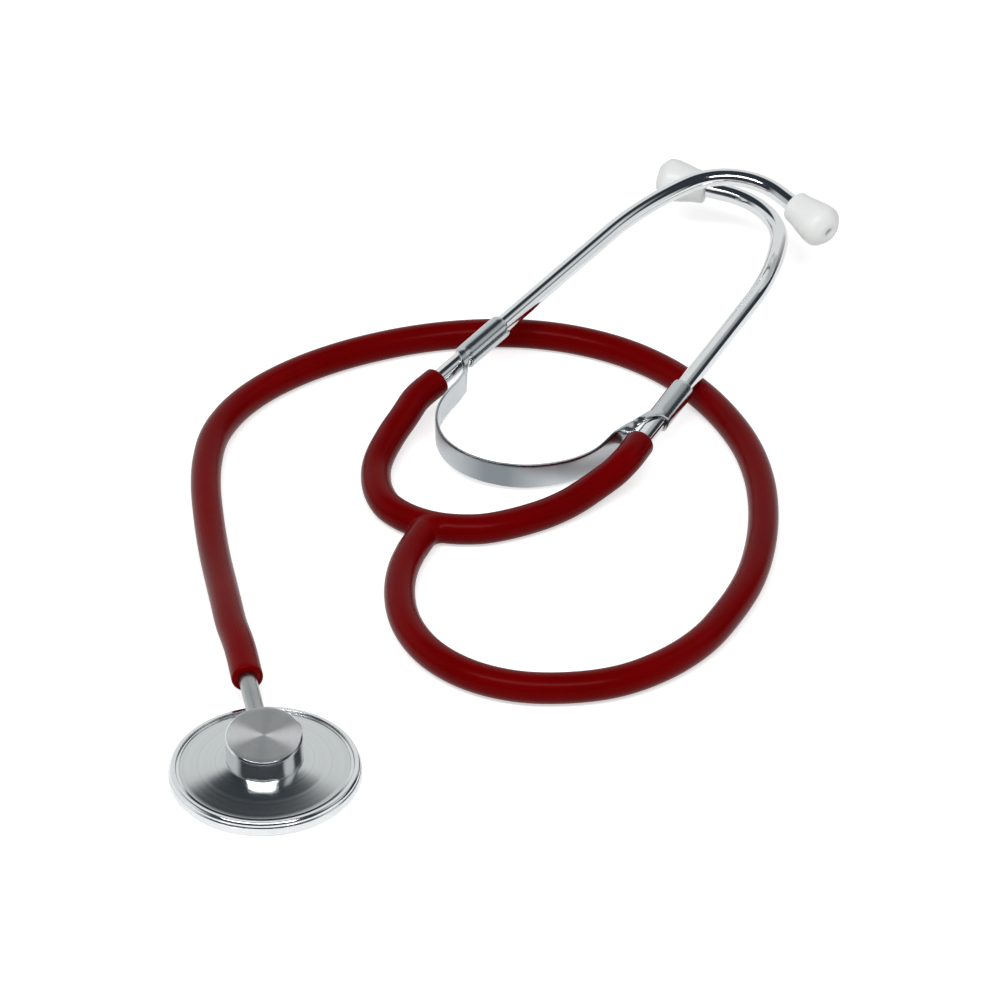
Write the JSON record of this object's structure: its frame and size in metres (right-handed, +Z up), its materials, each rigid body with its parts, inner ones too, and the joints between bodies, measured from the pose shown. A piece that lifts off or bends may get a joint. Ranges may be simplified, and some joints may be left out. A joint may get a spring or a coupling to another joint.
{
  "type": "stethoscope",
  "caption": "Single-head stethoscope with dark red tubing, sprung chrome ear tubes and white eartips.",
  "frame": {"origin": "centre of the chestpiece's rest face, on the surface that the stethoscope lies on", "axes": "+Z up along the chestpiece's axis, +Y towards the ear tubes, +X to the right seen from the chestpiece"},
  "size_m": [0.1782, 0.2842, 0.032],
  "materials": {
    "satin_metal": "satin plated",
    "polished_metal": "bright chrome plated",
    "spring_steel": "satin nickel",
    "red_hose": "glossy dark red",
    "eartip_plastic": "milky, slightly glossy",
    "diaphragm_plastic": "smooth"
  },
  "bodies": {
    "root": {"chestpiece_body": "satin_metal", "stem": "polished_metal", "diaphragm": "diaphragm_plastic", "main_tube": "red_hose", "y_junction": "red_hose", "left_branch": "red_hose", "right_branch": "red_hose", "spring_strip": "spring_steel"},
    "ring": {"retaining_ring": "polished_metal"},
    "left_arm": {"left_ferrule": "spring_steel"},
    "left_tube": {"left_ear_tube": "polished_metal"},
    "left_tip": {"left_eartip": "eartip_plastic"},
    "right_arm": {"right_ferrule": "spring_steel"},
    "right_tube": {"right_ear_tube": "polished_metal"},
    "right_tip": {"right_eartip": "eartip_plastic"}
  },
  "joints": [
    {"name": "ring_turn", "type": "hinge", "parent": "root", "child": "ring", "pos_m": [0, 0, 0], "axis": [0, 0, 1], "continuous": true},
    {"name": "left_spread", "type": "hinge", "parent": "root", "child": "left_arm", "pos_m": [0.046, 0.141, 0.01], "axis": [0.1203, -0.2005, 0.9723], "range_deg": [0, 45], "stiffness_Nm_per_rad": 0.45, "deforming": ["spring_strip", "left_branch", "right_branch"]},
    {"name": "right_spread", "type": "hinge", "parent": "root", "child": "right_arm", "pos_m": [0.082, 0.128, 0.006], "axis": [0, 0, -1], "range_deg": [0, 45], "stiffness_Nm_per_rad": 0.45, "deforming": ["spring_strip", "right_branch"]},
    {"name": "left_twist", "type": "hinge", "parent": "left_arm", "child": "left_tube", "pos_m": [0.0416, 0.1603, 0.0111], "axis": [-0.6338, -0.7527, -0.1783], "range_deg": [0, 20]},
    {"name": "right_twist", "type": "hinge", "parent": "right_arm", "child": "right_tube", "pos_m": [0.0964, 0.133, 0.0092], "axis": [-0.4586, -0.8873, -0.0498], "range_deg": [0, 10]},
    {"name": "left_tip_turn", "type": "hinge", "parent": "left_tube", "child": "left_tip", "pos_m": [0.14067, 0.22674, 0.02704], "axis": [0.6648, -0.7282, -0.1665], "continuous": true},
    {"name": "right_tip_turn", "type": "hinge", "parent": "right_tube", "child": "right_tip", "pos_m": [0.1199, 0.25068, 0.01833], "axis": [-0.947, 0.308, 0.0919], "continuous": true}
  ],
  "couplings": [
    {"joint": "right_spread", "follows": "left_spread", "ratio": 1}
  ]
}
